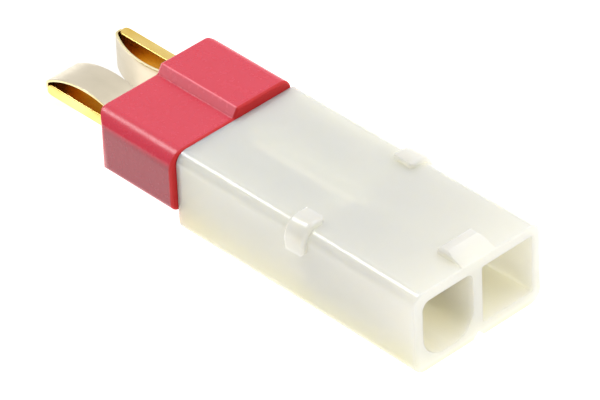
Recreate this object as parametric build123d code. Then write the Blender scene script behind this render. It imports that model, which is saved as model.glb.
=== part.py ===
from build123d import *

import os
from math import asin, cos, degrees, radians, sin, sqrt

# Two-way battery adapter: a blade plug in red nylon whose contacts are soldered to the pins of a two-cell
# socket housing in natural nylon. Sizes are in millimetres and angles in degrees. While it is modelled, X = 0
# is the joint between the two housings, +X runs towards the open cells, Y = 0 is the middle of the socket
# housing and Z = 0 is the table under it.

# Socket housing, outside
socket_length = 31.0
socket_width = 15.6
socket_height = 8.8
socket_corner = 1.35
mouth_spread = 0.17
spread_start = 14.2
rear_rim_bevel = 0.15
mouth_rim_round = 0.2

# Cells, open at the mouth
side_wall = 0.95
rib = 1.1
roof = 1.1
round_cell_floor = 1.15
round_cell_radius = 2.6
round_cell_flat = 0.4
round_cell_top_radius = 0.9
square_cell_floor = 1.5
square_cell_radius = 0.2
bulkhead_start = 14.6
bulkhead = 1.9

# Groove under the rib, lugs on the long top edges and catch at the mouth
groove_width = 1.5
groove_depth = 0.85
groove_round = 0.15
lug_start = 14.7
lug_length = 2.6
lug_reach = 2.4
lug_height = 0.55
lug_round = 0.45
catch_width = 4.1
catch_length = 3.2
catch_height = 0.8
catch_offset = 0.3
catch_round = 0.4

# Rear chambers, one round each soldered joint
chamber_side_gap = 0.73
chamber_rise = 0.79
chamber_radius = 0.5

# Plug housing
plug_length = 10.6
plug_narrower = 0.3
plug_overhang = 0.6
plug_set_down = 0.05
plug_lift = 1.4
step_offset = 0.35
step_height = 0.95
step_run = 0.55
step_round = 0.2
flat_side_corner = 1.85
flat_side_low_corner = 0.9
plug_corner = 1.2
plug_end_corner = 2.0
plug_end_round = 0.4
plug_rear_round = 0.25

# Blade contacts
blade_width = 3.8
blade_thickness = 1.2
blade_reach = 8.93
blade_tip_corner = 1.0
flat_blade_shift = 0.5
upright_blade_shift = 0.2
tongue_width = 2.4
tongue_reach = 7.4
slot_gap = 0.02

# Bowed leaf on each blade
leaf_thickness = 0.25
leaf_gap = 0.02
leaf_radius = 10.3
leaf_lift = 30.0
leaf_roll_radius = 0.9
leaf_roll_rise = 0.2
leaf_heel_radius = 0.8
leaf_foot = 0.8
pocket_gap = 0.12
pocket_side_gap = 0.1

# Rolled pins
pin_strip = 0.32
pin_radius = 1.15
prong_radius = 0.9
prong_shoulder = 0.3
pin_setback = 5.4
pin_nose = 1.6
pin_tip_radius = 0.45
pin_below_contact = 1.05
pin_bore_gap = 0.06
seam = 0.14
collar_radius = 1.65
collar_length = 0.9
collar_bevel = 0.25
body_length = 3.0
funnel_length = 1.6
roll_flat = 0.02
barrel_length = 6.4
barrel_inner_width = 2.9
barrel_inner_height = 2.9
barrel_radius = 0.95
wing_slope = 1.2
tang_length = 1.6
tang_flare = 0.45
tang_width = 0.9
tang_thickness = 0.28
tang_gap = 0.05
solder_below_wings = 0.25
solder_beyond_tongue = 0.5
solder_round = 0.3

# Places that follow from the sizes
mouth_width = socket_width + 2 * mouth_spread
cell_width = (socket_width - rib) / 2 - side_wall
cell_middle = (rib + cell_width) / 2
cell_start = bulkhead_start + bulkhead
cell_top = socket_height - roof
lug_spread = mouth_spread * (lug_start + lug_length - spread_start) / (socket_length - spread_start)
lug_side = socket_width / 2 + lug_spread + lug_height
plug_near = -socket_width / 2 - plug_overhang
plug_width = socket_width - plug_narrower
flat_side_width = -plug_near - step_offset
flat_side_top = socket_height - plug_set_down
flat_side_height = flat_side_top - plug_lift - step_height
contact_height = flat_side_top - flat_side_height / 2
pin_height = contact_height - pin_below_contact
flat_blade_y = -cell_middle - flat_blade_shift
upright_blade_y = cell_middle - upright_blade_shift
blade_tip = -plug_length - blade_reach
nose_middle = blade_tip + blade_thickness / 2
leaf_roll_inside = leaf_roll_radius - leaf_thickness / 2
leaf_roll_middle = blade_tip - leaf_gap + sqrt(leaf_roll_inside ** 2 - leaf_roll_rise ** 2)
leaf_front = leaf_roll_middle - leaf_roll_inside - leaf_thickness
pin_tip = socket_length - pin_setback
shank_end = cell_start + tang_length
collar_start = bulkhead_start - collar_length
funnel_end = collar_start - body_length
barrel_end = funnel_end - funnel_length
barrel_start = barrel_end - barrel_length
barrel_width = barrel_inner_width + 2 * pin_strip
barrel_top = pin_strip + barrel_inner_height - pin_radius
barrel_middle = barrel_top - barrel_inner_height / 2
chamber_middle = pin_height + barrel_middle
chamber_width = barrel_width + 2 * chamber_side_gap
chamber_height = barrel_inner_height + pin_strip + 2 * chamber_rise


def rectangle(low, high):
    # A rectangle between two corners
    return Pos((low[0] + high[0]) / 2, (low[1] + high[1]) / 2) * Rectangle(high[0] - low[0], high[1] - low[1])


def along(section, start, end):
    # Push a section drawn in Y and Z along X
    return extrude(Plane.YZ.offset(start) * section, end - start)


def across(profile, width):
    # Push a side profile drawn in X and Z to both sides of Y = 0
    return extrude(Plane.XZ * profile, width / 2, both=True)


def socket_section(width):
    return Pos(0, socket_height / 2) * RectangleRounded(width, socket_height, socket_corner)


def round_cell_section():
    # The keyed cell: its floor is rounded so that only the matching prong goes in
    low = (-rib / 2 - cell_width, round_cell_floor)
    section = rectangle(low, (-rib / 2, cell_top))
    radius = min(round_cell_radius, (cell_width - round_cell_flat) / 2)
    section = fillet(section.vertices().group_by(Axis.Y)[0], radius)
    return fillet(section.vertices().group_by(Axis.Y)[-1], round_cell_top_radius)


def square_cell_section():
    section = rectangle((rib / 2, square_cell_floor), (rib / 2 + cell_width, cell_top))
    return fillet(section.vertices(), square_cell_radius)


def groove_section():
    # A notch whose apex points up into the rib
    half = groove_width / 2
    section = make_face(Polyline((-half, 0), (0, groove_depth), (half, 0), close=True))
    return fillet(section.vertices().group_by(Axis.Y)[-1], groove_round)


def lug(side):
    # A pad that wraps over one long top edge beside the bulkhead
    top = socket_height + lug_height
    size = lug_reach + lug_height
    outer = rectangle((lug_side - size, top - size), (lug_side, top))
    outer = fillet(outer.vertices().sort_by_distance((lug_side, top))[0], socket_corner + lug_height)
    pad = along(outer, lug_start, lug_start + lug_length)
    ends = pad.faces().sort_by(Axis.X)
    pad = fillet(ends[0].edges() + ends[-1].edges(), lug_round)
    return pad if side > 0 else mirror(pad, about=Plane.XZ)


def catch():
    # The ramp that the mating latch rides up and hooks behind
    start = socket_length - catch_length
    sunk = socket_height - roof / 2
    top = socket_height + catch_height
    ramp = Polyline(
        (start, sunk), (start, top), (start + catch_length / 3, top), (socket_length, socket_height),
        (socket_length, sunk), close=True,
    )
    body = Pos(0, catch_offset) * across(make_face(ramp), catch_width)
    edges = body.edges().filter_by(lambda edge: edge.center().Z > top - catch_height / 3)
    return fillet(edges, catch_round)


def socket_housing():
    body = along(socket_section(socket_width), 0, spread_start)
    body += loft([
        Plane.YZ.offset(spread_start) * socket_section(socket_width),
        Plane.YZ.offset(socket_length) * socket_section(mouth_width),
    ])
    body = chamfer(body.edges().group_by(Axis.X)[0], rear_rim_bevel)
    body = fillet(body.edges().group_by(Axis.X)[-1], mouth_rim_round)
    body += lug(1)
    body += lug(-1)
    body += catch()
    body -= along(groove_section(), 0, socket_length)
    body -= along(round_cell_section(), cell_start, socket_length)
    body -= along(square_cell_section(), cell_start, socket_length)
    chamber = RectangleRounded(chamber_width, chamber_height, chamber_radius)
    for side in (-1, 1):
        place = Pos(side * cell_middle, chamber_middle)
        body -= along(place * chamber, 0, bulkhead_start)
        bore = Pos(side * cell_middle, pin_height) * Circle(pin_radius + pin_bore_gap)
        body -= along(bore, bulkhead_start, cell_start)
    return body


def plug_section():
    # Flat side for the flat blade, taller side for the upright one, at equal heights above and below the blades
    flat = flat_side_height / 2
    tall = flat + step_height
    step = flat_side_width + step_run
    upper = [(0, flat), (flat_side_width, flat), (step, tall), (plug_width, tall)]
    lower = [(y, -z) for y, z in reversed(upper)]
    section = make_face(Polyline(*upper, *lower, close=True))
    for corner, radius in ((-1, flat_side_corner), (0, flat_side_low_corner)):
        near = section.vertices().group_by(Axis.X)[0].sort_by(Axis.Y)
        section = fillet(near[corner], radius)
    section = fillet(section.vertices().group_by(Axis.X)[-1], plug_corner)
    steps = section.vertices().filter_by(lambda v: flat_side_width - step_run < v.X < step + step_run)
    section = fillet(steps, step_round)
    return Pos(plug_near, contact_height) * section


def on_roll(angle):
    # Point on the leaf's middle line in front of the blade's nose, the angle counted up from the front
    turned = radians(angle)
    across_roll = leaf_roll_radius * cos(turned)
    return (leaf_roll_middle - across_roll, leaf_roll_rise + leaf_roll_radius * sin(turned))


def leaf_bow_centre():
    # The bow leaves the roll at the lift angle, on a common tangent
    lift = radians(leaf_lift)
    inset = leaf_radius - leaf_roll_radius
    return (leaf_roll_middle + inset * sin(lift), leaf_roll_rise - inset * cos(lift))


def leaf_profile():
    # Middle line of the leaf seen from the side: it starts against the middle of the nose, rolls up over it,
    # bows along the blade and ends in a foot that lies on the blade
    seat_z = (blade_thickness + leaf_thickness) / 2
    bow = leaf_bow_centre()
    heel_z = seat_z + leaf_heel_radius
    reach = leaf_radius + leaf_heel_radius
    heel_x = bow[0] + sqrt(reach ** 2 - (heel_z - bow[1]) ** 2)
    share = leaf_radius / reach
    turn = (bow[0] + (heel_x - bow[0]) * share, bow[1] + (heel_z - bow[1]) * share)
    half = (heel_x - bow[0]) / 2 / reach
    heel_mid = (heel_x - leaf_heel_radius * half, heel_z - leaf_heel_radius * sqrt(1 - half ** 2))
    start = -degrees(asin(leaf_roll_rise / leaf_roll_inside))
    leave = 90 - leaf_lift
    return [
        ThreePointArc(on_roll(start), on_roll((start + leave) / 2), on_roll(leave)),
        ThreePointArc(on_roll(leave), (bow[0], bow[1] + leaf_radius), turn),
        ThreePointArc(turn, heel_mid, (heel_x, seat_z)),
        Line((heel_x, seat_z), (heel_x + leaf_foot, seat_z)),
    ]


def leaf_height_at(x):
    # Outer face of the bow above the middle of the blade, at a distance along it
    bow = leaf_bow_centre()
    outer = leaf_radius + leaf_thickness / 2
    return bow[1] + sqrt(outer ** 2 - (x - bow[0]) ** 2)


def tip_plan(start, end):
    # Plan of a contact with its two tip corners rounded
    plan = rectangle((start, -blade_width / 2), (end, blade_width / 2))
    return fillet(plan.vertices().group_by(Axis.X)[0], blade_tip_corner)


def blade(tongue_offset):
    # One strip: rounded nose, flat body in the plug and a narrow tongue for soldering
    plan = tip_plan(blade_tip, 0)
    tongue = (tongue_offset - tongue_width / 2, tongue_offset + tongue_width / 2)
    plan += rectangle((0, tongue[0]), (tongue_reach, tongue[1]))
    half = blade_thickness / 2
    side = Pos(nose_middle, 0) * Circle(half)
    side += rectangle((nose_middle, -half), (tongue_reach, half))
    return extrude(plan, blade_thickness, both=True) & across(side, 2 * blade_width)


def leaf():
    profile = Sketch() + [trace(line, leaf_thickness) for line in leaf_profile()]
    strip = across(profile, blade_width)
    plan = extrude(tip_plan(leaf_front, leaf_end()), 2 * leaf_radius, both=True)
    return strip & plan


def leaf_end():
    return leaf_profile()[-1].end_point().X


def upright(shape):
    # Turn a lying contact so that its leaf faces the flat blade
    return Pos(0, upright_blade_y, contact_height) * Rot(90, 0, 0) * shape


def lying(shape):
    return Pos(0, flat_blade_y, contact_height) * shape


def contact_space():
    # What the plug housing leaves free round one lying contact
    width = blade_width + 2 * slot_gap
    height = blade_thickness + 2 * slot_gap
    slot = along(Rectangle(width, height), -plug_length, 0)
    pocket_width = blade_width + 2 * pocket_side_gap
    pocket_top = leaf_height_at(-plug_length) + pocket_gap
    pocket = rectangle((-pocket_width / 2, 0), (pocket_width / 2, pocket_top))
    return slot + along(pocket, -plug_length, leaf_end() + pocket_gap)


def plug_housing():
    body = along(plug_section(), -plug_length, 0)
    body = fillet(body.edges().group_by(Axis.X)[0], plug_end_round)
    plan = rectangle((-plug_length, plug_near), (0, plug_near + plug_width))
    plan = fillet(plan.vertices().group_by(Axis.X)[0], plug_end_corner)
    body &= extrude(plan, 2 * socket_height)
    body = fillet(body.edges().group_by(Axis.X)[-1], plug_rear_round)
    body -= lying(contact_space())
    body -= upright(contact_space())
    return body


def barrel_section(inset):
    # Open channel of the solder barrel, drawn round the pin's axis
    half = barrel_width / 2 - inset
    section = rectangle((-half, inset - pin_radius), (half, barrel_top))
    return fillet(section.vertices().group_by(Axis.Y)[0], barrel_radius - inset)


def funnel(inset):
    # Widens the round pin into the channel, at one height
    height = 2 * (pin_radius - inset)
    return loft([
        Plane.YZ.offset(barrel_end) * SlotOverall(barrel_width - 2 * inset, height),
        Plane.YZ.offset(funnel_end) * SlotOverall(height + roll_flat, height),
    ], ruled=True)


def pin_tube():
    # Rolled tube turned about the pin's axis: shank, shoulder, slimmer prong and a blunt tip
    nose_start = pin_tip - pin_nose
    inner = pin_radius - pin_strip
    prong_inner = prong_radius - pin_strip
    prong_start = shank_end + prong_shoulder
    outline = Polyline(
        (funnel_end, inner), (funnel_end, pin_radius), (shank_end, pin_radius), (prong_start, prong_radius),
        (nose_start, prong_radius), (pin_tip, pin_tip_radius), (pin_tip, 0), (pin_tip - pin_strip, 0),
        (nose_start, prong_inner), (prong_start, prong_inner), (shank_end, inner), close=True,
    )
    tube = revolve(make_face(outline), Axis.X)
    ring = rectangle((collar_start, inner), (bulkhead_start, collar_radius))
    ring = chamfer(ring.vertices().group_by(Axis.Y)[-1], collar_bevel)
    return tube + revolve(ring, Axis.X)


def tang():
    # Lance that springs out behind the bulkhead and stops the pin from backing out
    free = cell_start + tang_gap
    skin = pin_radius - pin_strip / 2
    tip = pin_radius + tang_flare
    under = (shank_end - tang_thickness, skin - tang_thickness / 2)
    profile = Polyline((shank_end, skin), (free, tip), (free, tip - tang_thickness), under, close=True)
    return across(make_face(profile), tang_width)


def pin():
    body = pin_tube()
    body += funnel(0) - funnel(pin_strip)
    body += along(barrel_section(0), barrel_start, barrel_end)
    body -= along(barrel_section(pin_strip), barrel_start, barrel_end)
    slope = Polyline(
        (barrel_end, pin_radius), (barrel_end - wing_slope, chamber_height), (barrel_end, chamber_height), close=True
    )
    body -= across(make_face(slope), chamber_width)
    slit = rectangle((funnel_end, -pin_radius - seam), (pin_tip - pin_nose, -pin_radius + pin_strip + seam))
    body -= across(slit, seam)
    body += tang()
    body += mirror(tang(), about=Plane.XY)
    return body


def solder(tongue_height, tongue_depth, tongue_middle):
    # Fills the channel round the tongue up to just under the wings
    top = barrel_top - solder_below_wings
    width = barrel_inner_width
    fill = barrel_section(pin_strip) & rectangle((-width, -pin_radius), (width, top))
    body = along(fill, barrel_start, tongue_reach + solder_beyond_tongue)
    edges = body.edges().filter_by(lambda edge: edge.center().Z > top - solder_round / 2)
    body = fillet(edges, solder_round)
    core = rectangle(
        (tongue_middle[0] - tongue_depth / 2, tongue_middle[1] - tongue_height / 2),
        (tongue_middle[0] + tongue_depth / 2, tongue_middle[1] + tongue_height / 2),
    )
    return body - along(core, 0, tongue_reach)


def at_pin(side, shape):
    return Pos(0, side * cell_middle, pin_height) * shape


flat_tongue = (0, pin_below_contact)
upright_tongue = (-upright_blade_shift, barrel_middle)
flat_tongue_offset = flat_blade_shift
upright_tongue_offset = chamber_middle - contact_height

pieces = {
    "socket_housing": socket_housing(),
    "plug_housing": plug_housing(),
    "flat_blade": lying(blade(flat_tongue_offset)),
    "flat_blade_leaf": lying(leaf()),
    "upright_blade": upright(blade(upright_tongue_offset)),
    "upright_blade_leaf": upright(leaf()),
    "pin_round_cell": at_pin(-1, pin()),
    "pin_square_cell": at_pin(1, pin()),
    "solder_flat_blade": at_pin(-1, solder(blade_thickness, tongue_width, flat_tongue)),
    "solder_upright_blade": at_pin(1, solder(tongue_width, blade_thickness, upright_tongue)),
}

# The part's origin is the middle of its footprint, on the table
middle_x = (leaf_front + socket_length) / 2
middle_y = (plug_near + lug_side) / 2
os.makedirs("parts", exist_ok=True)
for name, shape in pieces.items():
    export_step(Pos(-middle_x, -middle_y, 0) * shape, f"parts/{name}.step")
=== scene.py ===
from math import asin, cos, pi, radians, sin, sqrt

import bmesh
import bpy
from bpy.props import FloatProperty, FloatVectorProperty, IntProperty, PointerProperty
from mathutils import Matrix, Vector


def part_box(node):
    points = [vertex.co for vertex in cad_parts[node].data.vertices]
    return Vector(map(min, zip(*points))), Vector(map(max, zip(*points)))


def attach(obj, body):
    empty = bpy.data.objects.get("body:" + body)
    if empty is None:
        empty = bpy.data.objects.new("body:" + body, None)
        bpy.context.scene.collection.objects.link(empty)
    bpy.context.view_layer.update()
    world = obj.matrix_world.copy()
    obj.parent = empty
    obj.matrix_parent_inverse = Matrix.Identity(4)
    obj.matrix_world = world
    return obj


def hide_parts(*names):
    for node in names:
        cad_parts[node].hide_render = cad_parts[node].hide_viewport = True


bl_info = {
    "name": "Battery Connector Adapter",
    "version": (1, 0, 0),
    "blender": (4, 5, 0),
    "location": "View3D > Sidebar > Adapter",
    "description": "Dresses the packed frame of a two-way battery adapter and sets it on a pale stage",
    "category": "Object",
}

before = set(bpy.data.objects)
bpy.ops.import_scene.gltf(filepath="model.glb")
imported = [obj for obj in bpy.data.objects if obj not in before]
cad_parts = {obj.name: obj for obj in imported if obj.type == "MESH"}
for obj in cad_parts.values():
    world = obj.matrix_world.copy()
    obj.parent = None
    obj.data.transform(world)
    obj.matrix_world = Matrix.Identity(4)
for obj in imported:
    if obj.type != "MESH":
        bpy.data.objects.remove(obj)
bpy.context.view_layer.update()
MM = 0.001

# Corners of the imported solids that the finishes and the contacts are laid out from
PLUG_LOW, PLUG_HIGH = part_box("plug_housing")
SOCKET_LOW, SOCKET_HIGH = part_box("socket_housing")
FLAT_LOW, FLAT_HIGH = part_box("flat_blade")
UPRIGHT_LOW, UPRIGHT_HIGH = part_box("upright_blade")

# Node, lowest and highest corner, and turn about its length of each blade
BLADES = (
    ("flat_blade", FLAT_LOW, FLAT_HIGH, 0.0),
    ("upright_blade", UPRIGHT_LOW, UPRIGHT_HIGH, pi / 2),
)

# Corners nearer than this are one corner, faces that turn less than this are one flat face, and edges that
# turn more than this are sharp
SAME_CORNER = 0.0008 * MM
SAME_FLAT = radians(0.4)
SHARP = radians(38.0)

# Nearly all values of a noise lie between these two
NOISE_LOW, NOISE_HIGH = 0.3, 0.7

# A Mix node's two colour inputs and its colour output, by number because others share their names
MIX_FIRST, MIX_SECOND, MIX_RESULT = 6, 7, 2

# What every colour and every length that a user may change has in common
COLOUR = {"size": 4, "min": 0.0, "max": 1.0, "subtype": "COLOR"}
LENGTH = {"min": 0.0, "unit": "LENGTH", "precision": 5}


def linear(code):
    # An sRGB hex colour as the linear values that a shader takes
    channels = [int(code[i:i + 2], 16) / 255 for i in (1, 3, 5)]
    return [c / 12.92 if c <= 0.04045 else ((c + 0.055) / 1.055) ** 2.4 for c in channels] + [1.0]


class AdapterHousings(bpy.types.PropertyGroup):
    nylon: FloatVectorProperty(
        name="Natural nylon", description="Outer colour of the socket housing",
        default=linear("#F4F0E5"), **COLOUR,
    )
    # Painted light: the brighter colour inside the cells stands in for light that comes through the walls
    nylon_inside_glow: FloatVectorProperty(
        name="Nylon inside", description="Colour of the socket housing inside its cells",
        default=linear("#FCF5E2"), **COLOUR,
    )
    red: FloatVectorProperty(
        name="Red nylon", description="Colour of the plug housing",
        default=linear("#D0344A"), **COLOUR,
    )
    # Painted shade: the darker, greyer red of the plug's two sides
    red_side_shade: FloatVectorProperty(
        name="Red side plate", description="Colour of the eroded finish on the plug's two sides",
        default=linear("#9C2A3C"), **COLOUR,
    )
    # Painted sheen: the paler red of the face between the plug's halves
    red_step_sheen: FloatVectorProperty(
        name="Red step", description="Colour of the face between the plug's low and tall halves",
        default=linear("#EE7684"), **COLOUR,
    )
    # Painted shade: the deep red of the rim round the plug's end
    red_end_shade: FloatVectorProperty(
        name="Red end", description="Colour of the dull rim round the plug's end",
        default=linear("#C00C14"), **COLOUR,
    )
    mouth_edge: FloatProperty(
        name="Mouth edge", description="Rounding left by the mould on the edges of the cells",
        default=0.13 * MM, **LENGTH,
    )
    slot_edge: FloatProperty(
        name="Slot edge", description="Rounding of the plug's edges and of the edges round the blades",
        default=0.16 * MM, **LENGTH,
    )
    # Painted light: how far from the red plug the nylon is painted warmer, as if lit through it
    painted_bleed_length: FloatProperty(
        name="Blush length", description="How far from the red plug the natural nylon looks warmer",
        default=6.0 * MM, **LENGTH,
    )
    # How far in from the plug's sides the painted shade dies out
    side_shade_fade: FloatProperty(
        name="Plate fade", description="How far in from the plug's sides the eroded finish dies out",
        default=0.2 * MM, **LENGTH,
    )
    step_middle: FloatProperty(
        name="Step middle", description="Where the step between the plug's halves lies across it",
        default=-0.066 * MM, unit="LENGTH", precision=5,
    )
    step_run: FloatProperty(
        name="Step run", description="Width of the step between the plug's halves, seen from above",
        default=0.75 * MM, **LENGTH,
    )
    step_rise: FloatProperty(
        name="Step rise", description="Height of the step between the plug's halves",
        default=0.95 * MM, **LENGTH,
    )
    # Length of the painted shade round the plug's end, where the red is also rougher
    shaded_end_length: FloatProperty(
        name="Dull end", description="Length of the dull rim round the plug's end",
        default=0.4 * MM, **LENGTH,
    )


class AdapterContacts(bpy.types.PropertyGroup):
    width: FloatProperty(
        name="Blade width", description="Width of both blades and of their leaves",
        default=3.8 * MM, **LENGTH,
    )
    thickness: FloatProperty(
        name="Blade thickness", description="Thickness of both blades",
        default=1.2 * MM, **LENGTH,
    )
    corner: FloatProperty(
        name="Tip corner", description="Radius of the blade's two tip corners in plan",
        default=0.4 * MM, **LENGTH,
    )
    edge: FloatProperty(
        name="Blade edge", description="Rounding along the blade's long edges",
        default=0.1 * MM, **LENGTH,
    )
    tongue_width: FloatProperty(
        name="Tongue width", description="Width of the soldering tongue",
        default=2.4 * MM, **LENGTH,
    )
    flat_tongue: FloatProperty(
        name="Flat tongue", description="How far the lying blade's tongue is set over towards its pin",
        default=0.5 * MM, unit="LENGTH", precision=5,
    )
    upright_tongue: FloatProperty(
        name="Upright tongue", description="How far the upright blade's tongue is set over towards its pin",
        default=-0.43 * MM, unit="LENGTH", precision=5,
    )
    strip: FloatProperty(
        name="Leaf thickness", description="Thickness of the bowed leaf",
        default=0.25 * MM, **LENGTH,
    )
    leaf_edge: FloatProperty(
        name="Leaf edge", description="Break left on the leaf's sheared edges",
        default=0.05 * MM, **LENGTH,
    )
    gap: FloatProperty(
        name="Leaf gap", description="Air between the nose of the blade and the leaf in front of it",
        default=0.02 * MM, **LENGTH,
    )
    bow: FloatProperty(
        name="Leaf bow", description="Radius of the leaf's long bow",
        default=10.3 * MM, **LENGTH,
    )
    lift: FloatProperty(
        name="Leaf lift", description="Angle at which the bow leaves the roll over the nose",
        default=radians(30.0), subtype="ANGLE",
    )
    roll: FloatProperty(
        name="Leaf roll", description="Radius of the roll over the nose",
        default=0.9 * MM, **LENGTH,
    )
    roll_rise: FloatProperty(
        name="Roll rise", description="Height of the roll's middle above the blade's middle",
        default=0.2 * MM, **LENGTH,
    )
    seat: FloatProperty(
        name="Leaf seat", description="How far under the blade's middle its lip meets the end of the leaf",
        default=0.08 * MM, **LENGTH,
    )
    heel: FloatProperty(
        name="Leaf heel", description="Radius of the bend where the leaf comes down on the blade",
        default=0.8 * MM, **LENGTH,
    )
    foot: FloatProperty(
        name="Leaf foot", description="Length of the foot that lies on the blade",
        default=0.8 * MM, **LENGTH,
    )
    steps_along: IntProperty(
        name="Steps along", description="Rows of the leaf's mesh", default=150, min=8,
    )
    steps_across: IntProperty(
        name="Steps across", description="Columns of the leaf's mesh", default=14, min=2,
    )
    solder_edge: FloatProperty(
        name="Solder edge", description="Rounding of the solder's rim where it froze against the barrel",
        default=0.08 * MM, **LENGTH,
    )


class AdapterMetals(bpy.types.PropertyGroup):
    gold_light: FloatVectorProperty(
        name="Gold, light", description="Lighter tone of the gold plating on the blades",
        default=linear("#F4DC94"), **COLOUR,
    )
    gold_dark: FloatVectorProperty(
        name="Gold, dark", description="Darker tone of the gold plating on the blades",
        default=linear("#E2BE5C"), **COLOUR,
    )
    nickel_light: FloatVectorProperty(
        name="Nickel, light", description="Lighter tone of the nickel plating on the leaves",
        default=linear("#DBD0BA"), **COLOUR,
    )
    nickel_dark: FloatVectorProperty(
        name="Nickel, dark", description="Darker tone of the nickel plating on the leaves",
        default=linear("#D0C6B0"), **COLOUR,
    )
    brass_light: FloatVectorProperty(
        name="Bare brass, light", description="Lighter tone of the unplated inner side of the leaves",
        default=linear("#D2A03C"), **COLOUR,
    )
    brass_dark: FloatVectorProperty(
        name="Bare brass, dark", description="Darker tone of the unplated inner side of the leaves",
        default=linear("#B07E24"), **COLOUR,
    )
    cut_light: FloatVectorProperty(
        name="Cut edge, light", description="Lighter tone of the leaves' sheared edges",
        default=linear("#F0E6BE"), **COLOUR,
    )
    cut_dark: FloatVectorProperty(
        name="Cut edge, dark", description="Darker tone of the leaves' sheared edges",
        default=linear("#DCCB90"), **COLOUR,
    )
    tin_light: FloatVectorProperty(
        name="Tin, light", description="Lighter tone of the tin plating on the pins",
        default=linear("#D8D5CC"), **COLOUR,
    )
    tin_dark: FloatVectorProperty(
        name="Tin, dark", description="Darker tone of the tin plating on the pins",
        default=linear("#BDB7A8"), **COLOUR,
    )
    solder_light: FloatVectorProperty(
        name="Solder, light", description="Colour of the solder's bright skin",
        default=linear("#D5D4D0"), **COLOUR,
    )
    solder_dark: FloatVectorProperty(
        name="Solder, dark", description="Colour of the frosting on the solder",
        default=linear("#A9A8A4"), **COLOUR,
    )


class AdapterStage(bpy.types.PropertyGroup):
    target: FloatVectorProperty(
        name="Camera target", description="Point that the camera looks at",
        default=(2.0644 * MM, 0.3939 * MM, 3.1116 * MM), subtype="XYZ", unit="LENGTH", precision=5,
    )
    distance: FloatProperty(
        name="Camera distance", description="From the target to the camera", default=0.5250923, unit="LENGTH",
    )
    azimuth: FloatProperty(
        name="Azimuth", description="Camera's bearing round the object",
        default=radians(47.8086), subtype="ANGLE",
    )
    elevation: FloatProperty(
        name="Elevation", description="Camera's height over the horizon",
        default=radians(36.8406), subtype="ANGLE",
    )
    roll: FloatProperty(
        name="Roll", description="Camera's tilt", default=radians(-2.5279), subtype="ANGLE",
    )
    lens: FloatProperty(
        name="Lens", description="Focal length", default=345.0865, min=1.0, unit="CAMERA",
    )
    surround: FloatProperty(
        name="Surround", description="Strength of the white room round the object", default=0.98, min=0.0,
    )
    bright_way: FloatVectorProperty(
        name="Bright way", description="Direction in which the white room is brightest",
        default=(-0.35, 0.55, 0.76), subtype="XYZ",
    )
    dim_side: FloatProperty(
        name="Dim side", description="Share of its brightness that the room keeps on its dim side",
        default=0.22, min=0.0, max=1.0,
    )
    key_place: FloatVectorProperty(
        name="Key place", description="Where the soft light overhead hangs",
        default=(0.16, 0.2, 0.45), subtype="XYZ", unit="LENGTH",
    )
    key_size: FloatProperty(
        name="Key size", description="Side of the soft light overhead", default=0.4, min=0.0, unit="LENGTH",
    )
    key_power: FloatProperty(
        name="Key power", description="Power of the soft light overhead", default=1.1, min=0.0, unit="POWER",
    )
    edge_place: FloatVectorProperty(
        name="Edge place", description="Where the small light behind the blades hangs",
        default=(-0.356, -0.09, 0.474), subtype="XYZ", unit="LENGTH",
    )
    edge_size: FloatProperty(
        name="Edge size", description="Side of the small light behind the blades",
        default=0.17, min=0.0, unit="LENGTH",
    )
    edge_power: FloatProperty(
        name="Edge power", description="Power of the small light behind the blades",
        default=0.7, min=0.0, unit="POWER",
    )
    mouth_place: FloatVectorProperty(
        name="Mouth place", description="Where the soft fill before the mouth stands",
        default=(0.46, -0.22, 0.07), subtype="XYZ", unit="LENGTH",
    )
    mouth_size: FloatProperty(
        name="Mouth size", description="Side of the soft fill before the mouth",
        default=0.5, min=0.0, unit="LENGTH",
    )
    mouth_power: FloatProperty(
        name="Mouth power", description="Power of the soft fill before the mouth",
        default=0.3, min=0.0, unit="POWER",
    )
    floor_reach: FloatProperty(
        name="Floor reach", description="From the middle of the floor to its sides",
        default=3.0, min=0.0, unit="LENGTH",
    )
    floor_drop: FloatProperty(
        name="Floor drop", description="How far the floor lies under the object",
        default=0.02 * MM, **LENGTH,
    )
    floor_light: FloatVectorProperty(
        name="Floor, light", description="Lighter tone of the opal board",
        default=linear("#A9A8A5"), **COLOUR,
    )
    floor_dark: FloatVectorProperty(
        name="Floor, dark", description="Darker tone of the opal board",
        default=linear("#A4A3A0"), **COLOUR,
    )
    glow: FloatProperty(
        name="Glow", description="Strength of the light that comes up through the board",
        default=1.15, min=0.0,
    )
    dim_glow: FloatProperty(
        name="Dim glow", description="Strength of that light before the blades", default=0.58, min=0.0,
    )
    dim_place: FloatVectorProperty(
        name="Dim place", description="Middle of the dimmer patch of the board",
        default=(-31 * MM, 3 * MM, 0.0), subtype="XYZ", unit="LENGTH", precision=5,
    )
    dim_inner: FloatProperty(
        name="Dim inner", description="Radius inside which the board is dimmest",
        default=6 * MM, **LENGTH,
    )
    dim_outer: FloatProperty(
        name="Dim outer", description="Radius at which the board has its full glow again",
        default=8 * MM, **LENGTH,
    )


def add(tree, kind, inputs=(), stops=(), **settings):
    # Adds one node with its settings and links: an input takes a plain value or another node's output, and
    # the stops are the places and colours along a ramp
    made = tree.nodes.new(kind)
    for name, value in settings.items():
        setattr(made, name, value)
    for key, value in dict(inputs).items():
        if isinstance(value, bpy.types.NodeSocket):
            tree.links.new(value, made.inputs[key])
        else:
            made.inputs[key].default_value = value
    for place, _ in stops[1:-1]:
        made.color_ramp.elements.new(place)
    for number, (place, colour) in enumerate(stops):
        made.color_ramp.elements[number].position = place
        made.color_ramp.elements[number].color = colour
    return made


def new_material(name):
    # A node material with nothing in it yet
    material = bpy.data.materials.new(name)
    material.use_nodes = True
    material.node_tree.nodes.clear()
    return material, material.node_tree


def tinted(colour, tint):
    # A colour with each of its channels held back or lifted by a share
    return [channel * share for channel, share in zip(colour, tint)] + [1.0]


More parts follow.
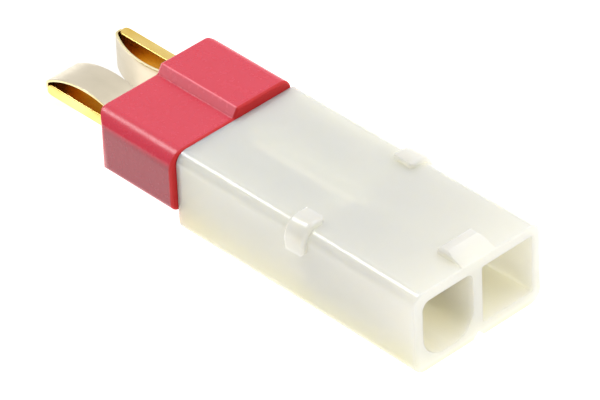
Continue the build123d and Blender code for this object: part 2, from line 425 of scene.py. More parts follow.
def natural_nylon():
    # Natural polyamide 66, injection moulded: milky, with a glossy skin and faint flow marks. Its colour
    # carries painted light: painted clearer on top and yellower low down, where light has come a longer way
    # through it, painted warmer beside the red plug as if lit through it, and painted brighter inside the
    # cells as if lit through the walls
    sizes = bpy.context.scene.adapter_housings
    material, tree = new_material("natural_nylon_moulded")
    where = add(tree, "ShaderNodeTexCoord")
    place = add(tree, "ShaderNodeSeparateXYZ", {0: where.outputs["Object"]})

    # Flow marks 4.55 mm across, drawn out along the housing, carry the painted tint's layers up and down by
    # 1.2 mm
    flow_width = 4.55 * MM
    flow_shift = 1.2 * MM
    drawn_out = add(tree, "ShaderNodeMapping", {"Vector": where.outputs["Object"], "Scale": (0.35, 1.0, 1.0)})
    flow = add(tree, "ShaderNodeTexNoise", {
        "Vector": drawn_out.outputs[0], "Scale": 1 / flow_width, "Detail": 2.0,
    })
    drift = add(tree, "ShaderNodeMapRange", {
        "Value": flow.outputs[0], "From Min": NOISE_LOW, "From Max": NOISE_HIGH,
        "To Min": -flow_shift, "To Max": flow_shift,
    })
    level = add(tree, "ShaderNodeMath", {0: place.outputs["Z"], 1: drift.outputs[0]}, operation="ADD")
    # Painted light: the colour runs from yellower low down to clearer on top, as if light came a longer way
    # through the nylon low down
    height = add(tree, "ShaderNodeMapRange", {
        "Value": level.outputs[0], "From Min": SOCKET_LOW.z, "From Max": SOCKET_HIGH.z,
    })
    painted_low_tint = tinted(sizes.nylon, (0.96, 0.93, 0.7))
    painted_middle_tint = tinted(sizes.nylon, (1.0, 0.99, 0.93))
    painted_depth_tint = add(tree, "ShaderNodeValToRGB", {"Fac": height.outputs[0]},
               stops=[(0.0, painted_low_tint), (0.5, painted_middle_tint), (1.0, sizes.nylon)])

    # Painted light: beside the red plug the nylon is painted warmer, its red lifted by 5 percent, as if lit
    # through the plug
    beside = add(tree, "ShaderNodeMapRange", {
        "Value": place.outputs["X"], "From Min": SOCKET_LOW.x, "From Max": SOCKET_LOW.x + sizes.painted_bleed_length,
    })
    painted_bleed = add(tree, "ShaderNodeValToRGB", {"Fac": beside.outputs[0]},
                stops=[(0.0, (1.05, 0.985, 0.88, 1.0)), (1.0, (1.0, 1.0, 1.0, 1.0))])
    outer = add(tree, "ShaderNodeVectorMath", {0: painted_depth_tint.outputs[0], 1: painted_bleed.outputs[0]}, operation="MULTIPLY")

    # The inside of the cells is told from the outer faces by how far it lies from the housing's middle line,
    # as a share of the half width and half height, and painted in a brighter glow, as if lit through the
    # walls
    middle = (SOCKET_LOW + SOCKET_HIGH) / 2
    half = (SOCKET_HIGH - SOCKET_LOW) / 2
    outer_share, inner_share = 0.96, 0.86
    away = add(tree, "ShaderNodeVectorMath", {0: where.outputs["Object"], 1: middle}, operation="SUBTRACT")
    signed = add(tree, "ShaderNodeVectorMath", {0: away.outputs[0], 1: half}, operation="DIVIDE")
    shares = add(tree, "ShaderNodeVectorMath", {0: signed.outputs[0]}, operation="ABSOLUTE")
    share = add(tree, "ShaderNodeSeparateXYZ", {0: shares.outputs[0]})
    widest = add(tree, "ShaderNodeMath", {0: share.outputs["Y"], 1: share.outputs["Z"]}, operation="MAXIMUM")
    inside = add(tree, "ShaderNodeMapRange", {
        "Value": widest.outputs[0], "From Min": outer_share, "From Max": inner_share,
    })
    colour = add(tree, "ShaderNodeMix", {
        0: inside.outputs[0], MIX_FIRST: outer.outputs[0], MIX_SECOND: sizes.nylon_inside_glow,
    }, data_type="RGBA")

    # Fine tooth of the mould, drawn at 0.385 mm so that it shows, over sink waves 6.25 mm long
    tooth_size = 0.385 * MM
    wave_length = 6.25 * MM
    tooth = add(tree, "ShaderNodeTexNoise", {
        "Vector": where.outputs["Object"], "Scale": 1 / tooth_size, "Detail": 2.0,
    })
    rough = add(tree, "ShaderNodeMapRange", {
        "Value": tooth.outputs[0], "From Min": NOISE_LOW, "From Max": NOISE_HIGH,
        "To Min": 0.1, "To Max": 0.14,
    })
    lengthwise = add(tree, "ShaderNodeMapping", {"Vector": where.outputs["Object"], "Scale": (0.5, 1.0, 1.0)})
    wave = add(tree, "ShaderNodeTexNoise", {
        "Vector": lengthwise.outputs[0], "Scale": 1 / wave_length, "Detail": 1.0,
    })
    relief = add(tree, "ShaderNodeMath", {
        0: tooth.outputs[0], 1: 0.12, 2: wave.outputs[0],
    }, operation="MULTIPLY_ADD")
    bump = add(tree, "ShaderNodeBump", {"Height": relief.outputs[0], "Strength": 0.3, "Distance": 0.05 * MM})
    shader = add(tree, "ShaderNodeBsdfPrincipled", {
        "Base Color": colour.outputs[MIX_RESULT], "Roughness": rough.outputs[0], "IOR": 1.53,
        "Normal": bump.outputs[0], "Subsurface Weight": 1.0, "Subsurface Radius": (1.0, 0.95, 0.8),
        "Subsurface Scale": 4.2 * MM, "Transmission Weight": 0.25,
    })
    add(tree, "ShaderNodeOutputMaterial", {"Surface": shader.outputs[0]})
    return material


def red_nylon():
    # Polyamide dyed right through, moulded against a polished tool: an even strong red that goes pink where
    # it mirrors the white room. Light is painted in: the two sides carry a painted shade, darker and greyer,
    # the step's face a painted pale sheen, and the rim that meets the other housing a painted deep shade, and
    # that rim is also rougher
    sizes = bpy.context.scene.adapter_housings
    material, tree = new_material("red_nylon_moulded")
    where = add(tree, "ShaderNodeTexCoord")
    place = add(tree, "ShaderNodeSeparateXYZ", {0: where.outputs["Object"]})

    # The dye drifts a little along the flow of the melt, in marks 3.85 mm across
    flow_width = 3.85 * MM
    drawn_out = add(tree, "ShaderNodeMapping", {"Vector": where.outputs["Object"], "Scale": (0.4, 1.0, 1.0)})
    flow = add(tree, "ShaderNodeTexNoise", {
        "Vector": drawn_out.outputs[0], "Scale": 1 / flow_width, "Detail": 2.0,
    })
    deep = tinted(sizes.red, (0.97, 0.9, 0.93))
    dyed = add(tree, "ShaderNodeValToRGB", {"Fac": flow.outputs[0]},
               stops=[(NOISE_LOW, deep), (NOISE_HIGH, sizes.red)])

    # Painted shade on the two outer sides: a darker, greyer red
    middle = (PLUG_LOW.y + PLUG_HIGH.y) / 2
    half = (PLUG_HIGH.y - PLUG_LOW.y) / 2
    across = add(tree, "ShaderNodeMath", {0: place.outputs["Y"], 1: middle}, operation="SUBTRACT")
    from_middle = add(tree, "ShaderNodeMath", {0: across.outputs[0]}, operation="ABSOLUTE")
    painted_side_shade = add(tree, "ShaderNodeMapRange", {
        "Value": from_middle.outputs[0], "From Min": half - sizes.side_shade_fade, "From Max": half,
    }, interpolation_type="SMOOTHSTEP")
    colour = add(tree, "ShaderNodeMix", {
        0: painted_side_shade.outputs[0], MIX_FIRST: dyed.outputs[0], MIX_SECOND: sizes.red_side_shade,
    }, data_type="RGBA")

    # Painted sheen on the step's face, a paler red, which fades out within a tenth of its width of its edges
    # and over its lowest 15 percent
    fade_start, fade_end = 0.6, 0.4
    foot_fade = 0.85
    beside = add(tree, "ShaderNodeMath", {
        0: place.outputs["Y"], 1: sizes.step_middle,
    }, operation="SUBTRACT")
    from_step = add(tree, "ShaderNodeMath", {0: beside.outputs[0]}, operation="ABSOLUTE")
    near = add(tree, "ShaderNodeMapRange", {
        "Value": from_step.outputs[0], "From Min": sizes.step_run * fade_start,
        "From Max": sizes.step_run * fade_end,
    }, interpolation_type="SMOOTHSTEP")
    raised = add(tree, "ShaderNodeMapRange", {
        "Value": place.outputs["Z"], "From Min": PLUG_HIGH.z - sizes.step_rise,
        "From Max": PLUG_HIGH.z - sizes.step_rise * foot_fade,
    }, interpolation_type="SMOOTHSTEP")
    face = add(tree, "ShaderNodeMath", {0: near.outputs[0], 1: raised.outputs[0]}, operation="MULTIPLY")
    colour = add(tree, "ShaderNodeMix", {
        0: face.outputs[0], MIX_FIRST: colour.outputs[MIX_RESULT], MIX_SECOND: sizes.red_step_sheen,
    }, data_type="RGBA")

    # Painted shade round the end, a deep red at its full depth over the last 40 percent of its length
    full_depth = 0.4
    end = add(tree, "ShaderNodeMapRange", {
        "Value": place.outputs["X"], "From Min": PLUG_HIGH.x - sizes.shaded_end_length,
        "From Max": PLUG_HIGH.x - sizes.shaded_end_length * full_depth,
    }, interpolation_type="SMOOTHSTEP")
    colour = add(tree, "ShaderNodeMix", {
        0: end.outputs[0], MIX_FIRST: colour.outputs[MIX_RESULT], MIX_SECOND: sizes.red_end_shade,
    }, data_type="RGBA")

    # Trace of the polishing, drawn at 0.714 mm so that it shows; the rim round the end is rougher by 0.4
    tooth_size = 0.714 * MM
    dulling = 0.4
    tooth = add(tree, "ShaderNodeTexNoise", {
        "Vector": where.outputs["Object"], "Scale": 1 / tooth_size, "Detail": 2.0,
    })
    polish = add(tree, "ShaderNodeMapRange", {
        "Value": tooth.outputs[0], "From Min": NOISE_LOW, "From Max": NOISE_HIGH,
        "To Min": 0.23, "To Max": 0.29,
    })
    rough = add(tree, "ShaderNodeMath", {
        0: end.outputs[0], 1: dulling, 2: polish.outputs[0],
    }, operation="MULTIPLY_ADD")
    bump = add(tree, "ShaderNodeBump", {"Height": tooth.outputs[0], "Strength": 0.05, "Distance": 0.02 * MM})
    shader = add(tree, "ShaderNodeBsdfPrincipled", {
        "Base Color": colour.outputs[MIX_RESULT], "Roughness": rough.outputs[0], "IOR": 1.53,
        "Normal": bump.outputs[0], "Subsurface Weight": 0.35, "Subsurface Radius": (1.0, 0.25, 0.2),
        "Subsurface Scale": 0.3 * MM,
    })
    add(tree, "ShaderNodeOutputMaterial", {"Surface": shader.outputs[0]})
    return material


def rolled_metal(name, light, dark, gloss, line_spacing):
    # Rolled strip, bare or under a thin plating: fine lines run along it, drawn coarser than the real
    # hundredths of a millimetre so that they show, and the tone drifts a little every 2.5 mm
    drift_size = 2.5 * MM
    material, tree = new_material(name)
    where = add(tree, "ShaderNodeTexCoord")
    drawn_out = add(tree, "ShaderNodeMapping", {"Vector": where.outputs["Object"], "Scale": (0.5, 1.0, 1.0)})
    drift = add(tree, "ShaderNodeTexNoise", {
        "Vector": drawn_out.outputs[0], "Scale": 1 / drift_size, "Detail": 2.0,
    })
    colour = add(tree, "ShaderNodeValToRGB", {"Fac": drift.outputs[0]},
                 stops=[(NOISE_LOW, dark), (NOISE_HIGH, light)])
    lengthwise = add(tree, "ShaderNodeMapping", {
        "Vector": where.outputs["Object"], "Scale": (0.06, 1.0, 1.0),
    })
    lines = add(tree, "ShaderNodeTexNoise", {
        "Vector": lengthwise.outputs[0], "Scale": 1 / line_spacing, "Detail": 2.0,
    })
    rough = add(tree, "ShaderNodeMapRange", {
        "Value": lines.outputs[0], "From Min": NOISE_LOW, "From Max": NOISE_HIGH,
        "To Min": gloss[0], "To Max": gloss[1],
    })
    bump = add(tree, "ShaderNodeBump", {"Height": lines.outputs[0], "Strength": 0.04, "Distance": 0.01 * MM})
    shader = add(tree, "ShaderNodeBsdfPrincipled", {
        "Base Color": colour.outputs[0], "Metallic": 1.0, "Roughness": rough.outputs[0],
        "Normal": bump.outputs[0],
    })
    add(tree, "ShaderNodeOutputMaterial", {"Surface": shader.outputs[0]})
    return material


def frozen_solder():
    # Tin solder as it froze: a bright skin with a soft frosting in grains of 0.667 mm
    metals = bpy.context.scene.adapter_metals
    grain_size = 0.667 * MM
    material, tree = new_material("tin_solder_frozen")
    where = add(tree, "ShaderNodeTexCoord")
    frost = add(tree, "ShaderNodeTexNoise", {
        "Vector": where.outputs["Object"], "Scale": 1 / grain_size, "Detail": 4.0,
    })
    colour = add(tree, "ShaderNodeValToRGB", {"Fac": frost.outputs[0]},
                 stops=[(0.35, metals.solder_dark), (0.65, metals.solder_light)])
    rough = add(tree, "ShaderNodeMapRange", {
        "Value": frost.outputs[0], "From Min": NOISE_LOW, "From Max": NOISE_HIGH,
        "To Min": 0.28, "To Max": 0.5,
    })
    bump = add(tree, "ShaderNodeBump", {"Height": frost.outputs[0], "Strength": 0.4, "Distance": 0.03 * MM})
    shader = add(tree, "ShaderNodeBsdfPrincipled", {
        "Base Color": colour.outputs[0], "Metallic": 1.0, "Roughness": rough.outputs[0],
        "Normal": bump.outputs[0],
    })
    add(tree, "ShaderNodeOutputMaterial", {"Surface": shader.outputs[0]})
    return material


def opal_board(stage):
    # Opal acrylic sheet, lit from below: an even white with hardly a shadow, dimmer before the blades so that
    # their polished sides have something darker to mirror, with a satin tooth of 1.11 mm
    tooth_size = 1.11 * MM
    material, tree = new_material("opal_acrylic_backlit")
    where = add(tree, "ShaderNodeTexCoord")
    away = add(tree, "ShaderNodeVectorMath", {
        0: where.outputs["Object"], 1: stage.dim_place,
    }, operation="DISTANCE")
    glow = add(tree, "ShaderNodeMapRange", {
        "Value": away.outputs["Value"], "From Min": stage.dim_inner, "From Max": stage.dim_outer,
        "To Min": stage.dim_glow, "To Max": stage.glow,
    })
    tooth = add(tree, "ShaderNodeTexNoise", {
        "Vector": where.outputs["Object"], "Scale": 1 / tooth_size, "Detail": 3.0,
    })
    colour = add(tree, "ShaderNodeValToRGB", {"Fac": tooth.outputs[0]},
                 stops=[(NOISE_LOW, stage.floor_dark), (NOISE_HIGH, stage.floor_light)])
    shader = add(tree, "ShaderNodeBsdfPrincipled", {
        "Base Color": colour.outputs[0], "Roughness": 0.7, "Specular IOR Level": 0.2,
        "Emission Color": (1.0, 1.0, 0.98, 1.0), "Emission Strength": glow.outputs[0],
    })
    add(tree, "ShaderNodeOutputMaterial", {"Surface": shader.outputs[0]})
    return material


def put(name, mesh, material, node):
    # Links a finished mesh as the piece that stands for one node of the frame
    mesh.materials.clear()
    mesh.materials.append(material)
    piece = bpy.data.objects.new(name, mesh)
    bpy.context.scene.collection.objects.link(piece)
    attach(piece, "root")
    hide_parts(node)
    return piece


def clean_copy(node):
    # A merged copy of a node's mesh, its flat faces joined, that is fit for rounding and smooth shading
    work = bmesh.new()
    work.from_mesh(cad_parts[node].data)
    bmesh.ops.remove_doubles(work, verts=work.verts, dist=SAME_CORNER)
    bmesh.ops.dissolve_degenerate(work, edges=work.edges, dist=SAME_CORNER)
    bmesh.ops.dissolve_limit(work, angle_limit=SAME_FLAT, verts=work.verts, edges=work.edges)
    work.verts.index_update()
    points = [vertex.co.copy() for vertex in work.verts]
    faces = [[vertex.index for vertex in face.verts] for face in work.faces]
    work.free()
    mesh = bpy.data.meshes.new(node + "_finish")
    mesh.from_pydata(points, [], faces)
    mesh.update()
    return mesh


def finish_edges(piece, width=0.0, segments=3):
    # Rounds the sharp edges where a width is given, and keeps the flat faces flat to the eye
    piece.data.shade_smooth()
    if width:
        bevel = piece.modifiers.new("edge rounding", "BEVEL")
        bevel.limit_method = "ANGLE"
        bevel.angle_limit = SHARP
        bevel.width = width
        bevel.segments = segments
        bevel.miter_outer = "MITER_ARC"
    piece.modifiers.new("flat faces stay flat", "WEIGHTED_NORMAL")


def section_ring(half_width, half_height, edge, steps=5):
    # Points of a rounded rectangle in Y and Z, counter-clockwise seen from the tip; a sliver of each side
    # stays straight, so that no two points fall together
    straight = 0.999
    edge = min(edge, half_width * straight, half_height * straight)
    ring = []
    for corner, (side, up) in enumerate(((1, 1), (-1, 1), (-1, -1), (1, -1))):
        for step in range(steps + 1):
            turn = (corner + step / steps) * pi / 2
            y = side * (half_width - edge) + edge * cos(turn)
            z = up * (half_height - edge) + edge * sin(turn)
            ring.append((y, z))
    return ring


def loft_rings(rings):
    # Skins a row of rings with the same number of points and closes both ends
    count = len(rings[0])
    points = [point for ring in rings for point in ring]
    faces = []
    for row in range(len(rings) - 1):
        for i in range(count):
            j = (i + 1) % count
            faces.append((row * count + i, row * count + j, (row + 1) * count + j, (row + 1) * count + i))
    faces.append(tuple(range(count)))
    faces.append(tuple(reversed(range((len(rings) - 1) * count, len(rings) * count))))
    return points, faces


def nose_depths(contact, lip_rows=10, nose_rows=14):
    # Rows along the blade's nose, closer together where it curves most: the lip ahead of the blade's start,
    # cut a little short of its sharp end, then the round up to the full thickness
    lip = contact.gap + contact.strip
    kept_length = 0.97
    just_before = contact.gap / 10
    depths = [-kept_length * lip * cos(row / lip_rows * pi / 2) for row in range(lip_rows)]
    depths.append(-just_before)
    half = contact.thickness / 2
    depths += [half * (1 - cos(row / nose_rows * pi / 2)) for row in range(1, nose_rows + 1)]
    return depths


def blade_mesh(name, contact, start, shoulder, end, tongue_shift, place):
    # One strip, drawn lying: its rounded nose comes forward under the leaf's end, so that both make one tip,
    # then the flat body and the narrower tongue behind the shoulder
    half = contact.thickness / 2
    wide = contact.width / 2
    lip = contact.gap + contact.strip
    rings = []
    for depth in nose_depths(contact) + [shoulder - start]:
        ahead = max(half - depth, 0.0)
        low = -half * sqrt(1 - (ahead / (half + lip)) ** 2)
        high = sqrt(half ** 2 - ahead ** 2) if depth > 0 else -contact.seat
        back = min(depth + lip, contact.corner)
        side = wide - contact.corner + sqrt(contact.corner ** 2 - (contact.corner - back) ** 2)
        ring = section_ring(side, (high - low) / 2, contact.edge)
        rings.append([Vector((start + depth, y, z + (high + low) / 2)) for y, z in ring])
    for x in (shoulder, end):
        ring = section_ring(contact.tongue_width / 2, half, contact.edge)
        rings.append([Vector((x, y + tongue_shift, z)) for y, z in ring])
    points, faces = loft_rings(rings)
    mesh = bpy.data.meshes.new(name)
    mesh.from_pydata([place @ point for point in points], [], faces)
    work = bmesh.new()
    work.from_mesh(mesh)
    bmesh.ops.remove_doubles(work, verts=work.verts, dist=SAME_CORNER)
    bmesh.ops.recalc_face_normals(work, faces=work.faces)
    work.to_mesh(mesh)
    work.free()
    return mesh


def blade_place(low, high, turn):
    # Takes what is drawn lying along X to the middle of a blade, turned about its length
    middle = Vector((0.0, (low.y + high.y) / 2, (low.z + high.z) / 2))
    return Matrix.Translation(middle) @ Matrix.Rotation(turn, 4, "X")


def arc_points(centre, radius, first, last, steps):
    # Points on an arc, the angles counted from +X towards +Z
    angles = [first + (last - first) * step / steps for step in range(steps + 1)]
    return [(centre[0] + radius * cos(angle), centre[1] + radius * sin(angle)) for angle in angles]


def leaf_path(contact, start, roll_steps=24, bow_steps=90, heel_steps=12):
    # Middle line of the leaf seen from the side, the blade's middle at height 0 and its nose at start
    inside = contact.roll - contact.strip / 2
    middle = start - contact.gap + sqrt(inside ** 2 - contact.roll_rise ** 2)
    inset = contact.bow - contact.roll
    bow = (middle + inset * sin(contact.lift), contact.roll_rise - inset * cos(contact.lift))
    seat = (contact.thickness + contact.strip) / 2
    reach = contact.bow + contact.heel
    heel_z = seat + contact.heel
    heel_x = bow[0] + sqrt(reach ** 2 - (heel_z - bow[1]) ** 2)
    turn = asin((heel_z - bow[1]) / reach)
    first = pi + asin(contact.roll_rise / inside)
    leave = pi / 2 + contact.lift
    path = arc_points((middle, contact.roll_rise), contact.roll, first, leave, roll_steps)
    path += arc_points(bow, contact.bow, leave, turn, bow_steps)[1:]
    path += arc_points((heel_x, heel_z), contact.heel, pi + turn, 3 * pi / 2, heel_steps)[1:]
    path.append((heel_x + contact.foot, seat))
    return path, middle - inside - contact.strip


def leaf_tree():
    # Lays a strip along a path: full width on the straight, narrower where its tip corners are rounded
    tree = bpy.data.node_groups.new("bowed_leaf", "GeometryNodeTree")
    face = tree.interface
    face.new_socket("Path", in_out="INPUT", socket_type="NodeSocketGeometry")
    for name in ("Strip Width", "Tip Corner", "Front"):
        face.new_socket(name, in_out="INPUT", socket_type="NodeSocketFloat")
    for name in ("Steps Along", "Steps Across"):
        face.new_socket(name, in_out="INPUT", socket_type="NodeSocketInt")
    face.new_socket("Finish", in_out="INPUT", socket_type="NodeSocketMaterial")
    face.new_socket("Strip", in_out="OUTPUT", socket_type="NodeSocketGeometry")
    given = add(tree, "NodeGroupInput").outputs

    # A grid one metre square, whose X is the share of the path and whose Y the share of the width
    grid = add(tree, "GeometryNodeMeshGrid", {
        "Size X": 1.0, "Size Y": 1.0, "Vertices X": given["Steps Along"], "Vertices Y": given["Steps Across"],
    })
    spot = add(tree, "ShaderNodeSeparateXYZ", {0: add(tree, "GeometryNodeInputPosition").outputs[0]})
    share = add(tree, "ShaderNodeMath", {0: spot.outputs["X"], 1: 0.5}, operation="ADD", use_clamp=True)
    line = add(tree, "GeometryNodeSampleCurve", {
        "Curves": given["Path"], "Factor": share.outputs[0],
    }, mode="FACTOR")
    along = add(tree, "ShaderNodeSeparateXYZ", {0: line.outputs["Position"]})

    # Each side loses corner - sqrt(corner^2 - short^2), where short is what is left of the corner's length
    depth = add(tree, "ShaderNodeMath", {0: along.outputs["X"], 1: given["Front"]}, operation="SUBTRACT")
    short = add(tree, "ShaderNodeMath", {0: given["Tip Corner"], 1: depth.outputs[0]}, operation="SUBTRACT")
    short = add(tree, "ShaderNodeMath", {0: short.outputs[0], 1: 0.0}, operation="MAXIMUM")
    short = add(tree, "ShaderNodeMath", {0: short.outputs[0], 1: given["Tip Corner"]}, operation="MINIMUM")
    corner = add(tree, "ShaderNodeMath", {0: given["Tip Corner"], 1: 2.0}, operation="POWER")
    square = add(tree, "ShaderNodeMath", {0: short.outputs[0], 1: 2.0}, operation="POWER")
    left = add(tree, "ShaderNodeMath", {0: corner.outputs[0], 1: square.outputs[0]}, operation="SUBTRACT")
    root = add(tree, "ShaderNodeMath", {0: left.outputs[0]}, operation="SQRT")
    cut = add(tree, "ShaderNodeMath", {0: given["Tip Corner"], 1: root.outputs[0]}, operation="SUBTRACT")
    cut = add(tree, "ShaderNodeMath", {0: cut.outputs[0], 1: 2.0}, operation="MULTIPLY")
    width = add(tree, "ShaderNodeMath", {0: given["Strip Width"], 1: cut.outputs[0]}, operation="SUBTRACT")
    across = add(tree, "ShaderNodeMath", {0: spot.outputs["Y"], 1: width.outputs[0]}, operation="MULTIPLY")
    where = add(tree, "ShaderNodeCombineXYZ", {
        "X": along.outputs["X"], "Y": across.outputs[0], "Z": along.outputs["Z"],
    })
    strip = add(tree, "GeometryNodeSetPosition", {"Geometry": grid.outputs[0], "Position": where.outputs[0]})
    real = add(tree, "GeometryNodeRealizeInstances", {0: strip.outputs[0]})
    done = add(tree, "GeometryNodeSetMaterial", {"Geometry": real.outputs[0], "Material": given["Finish"]})
    add(tree, "NodeGroupOutput", {"Strip": done.outputs[0]})
    return tree


def grow(tree, source, values):
    # Runs a tree on a curve and returns its result as a plain mesh
    modifier = source.modifiers.new("tree", "NODES")
    modifier.node_group = tree
    for item in tree.interface.items_tree:
        if item.in_out == "INPUT" and item.name in values:
            modifier[item.identifier] = values[item.name]
    bpy.context.view_layer.update()
    evaluated = source.evaluated_get(bpy.context.evaluated_depsgraph_get())
    mesh = bpy.data.meshes.new_from_object(evaluated)
    source.modifiers.remove(modifier)
    bpy.data.objects.remove(source)
    return mesh


def leaf_mesh(contact, tree, start, material, place):
    # The bowed strip of one leaf, without its thickness
    path, front = leaf_path(contact, start)
    curve = bpy.data.curves.new("leaf_path", "CURVE")
    curve.dimensions = "3D"
    line = curve.splines.new("POLY")
    line.points.add(len(path) - 1)
    for point, (x, z) in zip(line.points, path):
        point.co = (x, 0.0, z, 1.0)
    source = bpy.data.objects.new("leaf_path", curve)
    bpy.context.scene.collection.objects.link(source)
    mesh = grow(tree, source, {
        "Strip Width": contact.width, "Tip Corner": contact.corner, "Front": front,
        "Steps Along": contact.steps_along, "Steps Across": contact.steps_across, "Finish": material,
    })
    mesh.transform(place)
    return mesh


class ADAPTER_OT_socket_housing(bpy.types.Operator):
    """Finish the two-cell socket housing in natural nylon"""
    bl_idname = "adapter.socket_housing"
    bl_label = "Socket Housing"

    def execute(self, context):
        sizes = context.scene.adapter_housings
        mesh = clean_copy("socket_housing")
        piece = put("socket_housing_moulding", mesh, natural_nylon(), "socket_housing")
        finish_edges(piece, sizes.mouth_edge)
        return {"FINISHED"}


class ADAPTER_OT_plug_housing(bpy.types.Operator):
    """Finish the plug housing in red nylon"""
    bl_idname = "adapter.plug_housing"
    bl_label = "Plug Housing"

    def execute(self, context):
        sizes = context.scene.adapter_housings
        mesh = clean_copy("plug_housing")
        piece = put("plug_housing_moulding", mesh, red_nylon(), "plug_housing")
        finish_edges(piece, sizes.slot_edge)
        return {"FINISHED"}


class ADAPTER_OT_blades(bpy.types.Operator):
    """Make the two gold-plated blades"""
    bl_idname = "adapter.blades"
    bl_label = "Blades"

    def execute(self, context):
        contact = context.scene.adapter_contacts
        metals = context.scene.adapter_metals
        shifts = {"flat_blade": contact.flat_tongue, "upright_blade": contact.upright_tongue}
        # Gold plate on drawn brass: a bright warm mirror that blurs a little along the strip
        gold = rolled_metal(
            "gold_plate_bright", metals.gold_light, metals.gold_dark, gloss=(0.14, 0.24),
            line_spacing=0.333 * MM,
        )
        for node, low, high, turn in BLADES:
            name = node + "_strip"
            place = blade_place(low, high, turn)
            mesh = blade_mesh(name, contact, low.x, PLUG_HIGH.x, high.x, shifts[node], place)
            finish_edges(put(name, mesh, gold, node))
        return {"FINISHED"}


class ADAPTER_OT_leaves(bpy.types.Operator):
    """Lay the bowed leaf on each blade"""
    bl_idname = "adapter.leaves"
    bl_label = "Bowed Leaves"

    def execute(self, context):
        contact = context.scene.adapter_contacts
        metals = context.scene.adapter_metals
        # Nickel plate on spring brass: satin, pale and a little warm
        nickel = rolled_metal(
            "nickel_plate_satin", metals.nickel_light, metals.nickel_dark, gloss=(0.28, 0.38),
            line_spacing=0.333 * MM,
        )
        # Sheared through after plating: a pale yellow line along both edges
        cut = rolled_metal(
            "brass_cut_edge", metals.cut_light, metals.cut_dark, gloss=(0.3, 0.45), line_spacing=0.333 * MM,
        )
        # Plated on one side only: the hollow under the bow glows deep yellow
        bare = rolled_metal(
            "brass_bare_rolled", metals.brass_light, metals.brass_dark, gloss=(0.28, 0.4),
            line_spacing=0.333 * MM,
        )
        tree = leaf_tree()
        for blade, low, high, turn in BLADES:
            node = blade + "_leaf"
            mesh = leaf_mesh(contact, tree, low.x, nickel, blade_place(low, high, turn))
            piece = put(node + "_strip", mesh, nickel, node)
            mesh.materials.append(bare)
            mesh.materials.append(cut)
            mesh.shade_smooth()
            wall = piece.modifiers.new("strip thickness", "SOLIDIFY")
            wall.thickness = contact.strip
            wall.offset = 0.0
            wall.material_offset = 1
            wall.material_offset_rim = 2
            wall.use_even_offset = True
            bevel = piece.modifiers.new("sheared edge", "BEVEL")
            bevel.limit_method = "ANGLE"
            bevel.angle_limit = radians(50)
            bevel.width = contact.leaf_edge
            bevel.segments = 2
        return {"FINISHED"}


class ADAPTER_OT_pins(bpy.types.Operator):
    """Finish the two rolled pins and the solder in their barrels"""
    bl_idname = "adapter.pins"
    bl_label = "Pins and Solder"

    def execute(self, context):
        contact = context.scene.adapter_contacts
        metals = context.scene.adapter_metals
        # Tin plate on rolled brass: pale grey and dull, with finer lines than the blades have
        tin = rolled_metal(
            "tin_plate_dull", metals.tin_light, metals.tin_dark, gloss=(0.3, 0.45), line_spacing=0.167 * MM,
        )
        solder = frozen_solder()
        for node in ("pin_round_cell", "pin_square_cell"):
            finish_edges(put(node + "_rolled", clean_copy(node), tin, node))
        for node in ("solder_flat_blade", "solder_upright_blade"):
            piece = put(node + "_fill", clean_copy(node), solder, node)
            finish_edges(piece, contact.solder_edge, segments=2)
        return {"FINISHED"}


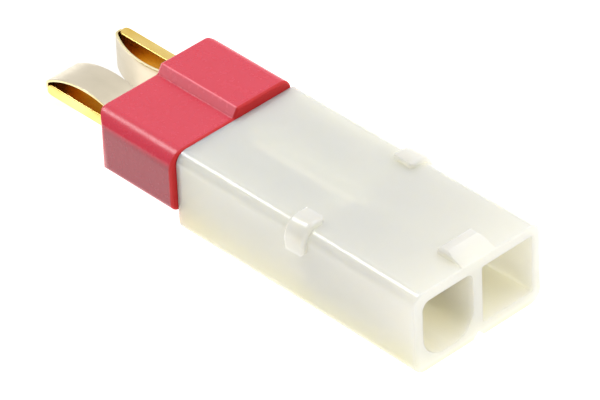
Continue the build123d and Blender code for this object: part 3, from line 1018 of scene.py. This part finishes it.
class ADAPTER_OT_stage(bpy.types.Operator):
    """Set the pale floor, the soft light and the camera"""
    bl_idname = "adapter.stage"
    bl_label = "Stage"

    def execute(self, context):
        stage = context.scene.adapter_stage
        self.lay_floor(context, stage)
        self.light_room(context, stage)
        self.soft_light(context, "overhead_softbox", stage.key_place, stage.key_size, stage.key_power)
        self.soft_light(context, "edge_softbox", stage.edge_place, stage.edge_size, stage.edge_power)
        self.soft_light(context, "mouth_fill", stage.mouth_place, stage.mouth_size, stage.mouth_power)
        self.add_camera(context, stage)
        context.scene.view_settings.view_transform = "Standard"
        return {"FINISHED"}

    def lay_floor(self, context, stage):
        # One flat board that reaches past every view
        reach = stage.floor_reach
        ends = ((-reach, -reach), (reach, -reach), (reach, reach), (-reach, reach))
        mesh = bpy.data.meshes.new("floor")
        mesh.from_pydata([(x, y, -stage.floor_drop) for x, y in ends], [], [(0, 1, 2, 3)])
        mesh.materials.append(opal_board(stage))
        floor = bpy.data.objects.new("floor", mesh)
        context.scene.collection.objects.link(floor)

    def light_room(self, context, stage):
        # White room, brightest overhead behind the object and dimmer low down in front of it
        dimmest, brightest = -0.4, 0.8
        dim = (stage.dim_side, stage.dim_side, stage.dim_side, 1.0)
        world = bpy.data.worlds.new("white_room")
        world.use_nodes = True
        tree = world.node_tree
        tree.nodes.clear()
        way = add(tree, "ShaderNodeTexCoord")
        facing = add(tree, "ShaderNodeVectorMath", {
            0: way.outputs["Generated"], 1: stage.bright_way,
        }, operation="DOT_PRODUCT")
        share = add(tree, "ShaderNodeMapRange", {
            "Value": facing.outputs["Value"], "From Min": dimmest, "From Max": brightest,
        })
        tone = add(tree, "ShaderNodeValToRGB", {"Fac": share.outputs[0]},
                   stops=[(0.0, dim), (1.0, (1.0, 1.0, 1.0, 1.0))])
        light = add(tree, "ShaderNodeBackground", {"Color": tone.outputs[0], "Strength": stage.surround})
        add(tree, "ShaderNodeOutputWorld", {"Surface": light.outputs[0]})
        context.scene.world = world

    def soft_light(self, context, name, where, size, power):
        # A square softbox that faces the object
        lamp = bpy.data.lights.new(name, "AREA")
        lamp.shape = "SQUARE"
        lamp.size = size
        lamp.energy = power
        body = bpy.data.objects.new(name, lamp)
        body.location = where
        body.rotation_euler = (-Vector(where)).to_track_quat("-Z", "Y").to_euler()
        context.scene.collection.objects.link(body)

    def add_camera(self, context, stage):
        # The camera stands off its target along its bearing and height, tilted by its roll
        data = bpy.data.cameras.new("camera")
        data.lens = stage.lens
        data.clip_start = 0.01
        data.clip_end = 20.0
        camera = bpy.data.objects.new("camera", data)
        azimuth, elevation = stage.azimuth, stage.elevation
        back = Vector((sin(azimuth) * cos(elevation), -cos(azimuth) * cos(elevation), sin(elevation)))
        level = Vector((cos(azimuth), sin(azimuth), 0.0))
        right = level * cos(stage.roll) + back.cross(level) * sin(stage.roll)
        up = back.cross(right)
        camera.matrix_world = Matrix((right, up, back)).transposed().to_4x4()
        camera.location = Vector(stage.target) + back * stage.distance
        context.scene.collection.objects.link(camera)
        context.scene.camera = camera


class ADAPTER_PT_panel(bpy.types.Panel):
    """The adapter's sizes, colours and steps"""
    bl_label = "Battery Adapter"
    bl_idname = "ADAPTER_PT_panel"
    bl_space_type = "VIEW_3D"
    bl_region_type = "UI"
    bl_category = "Adapter"

    def draw(self, context):
        for group_name in GROUPS:
            group = getattr(context.scene, group_name)
            box = self.layout.box()
            for name in group.bl_rna.properties.keys():
                if name not in ("rna_type", "name"):
                    box.prop(group, name)
        for operator in OPERATORS:
            self.layout.operator(operator.bl_idname)


GROUPS = {
    "adapter_housings": AdapterHousings,
    "adapter_contacts": AdapterContacts,
    "adapter_metals": AdapterMetals,
    "adapter_stage": AdapterStage,
}
OPERATORS = (
    ADAPTER_OT_stage, ADAPTER_OT_socket_housing, ADAPTER_OT_plug_housing,
    ADAPTER_OT_blades, ADAPTER_OT_leaves, ADAPTER_OT_pins,
)
CLASSES = (*GROUPS.values(), *OPERATORS, ADAPTER_PT_panel)


def register():
    for item in CLASSES:
        bpy.utils.register_class(item)
    for name, group in GROUPS.items():
        setattr(bpy.types.Scene, name, PointerProperty(type=group))


def unregister():
    for name in GROUPS:
        delattr(bpy.types.Scene, name)
    for item in reversed(CLASSES):
        bpy.utils.unregister_class(item)


def main():
    register()
    bpy.ops.adapter.stage()
    bpy.ops.adapter.socket_housing()
    bpy.ops.adapter.plug_housing()
    bpy.ops.adapter.blades()
    bpy.ops.adapter.leaves()
    bpy.ops.adapter.pins()


if __name__ == "__main__":
    main()
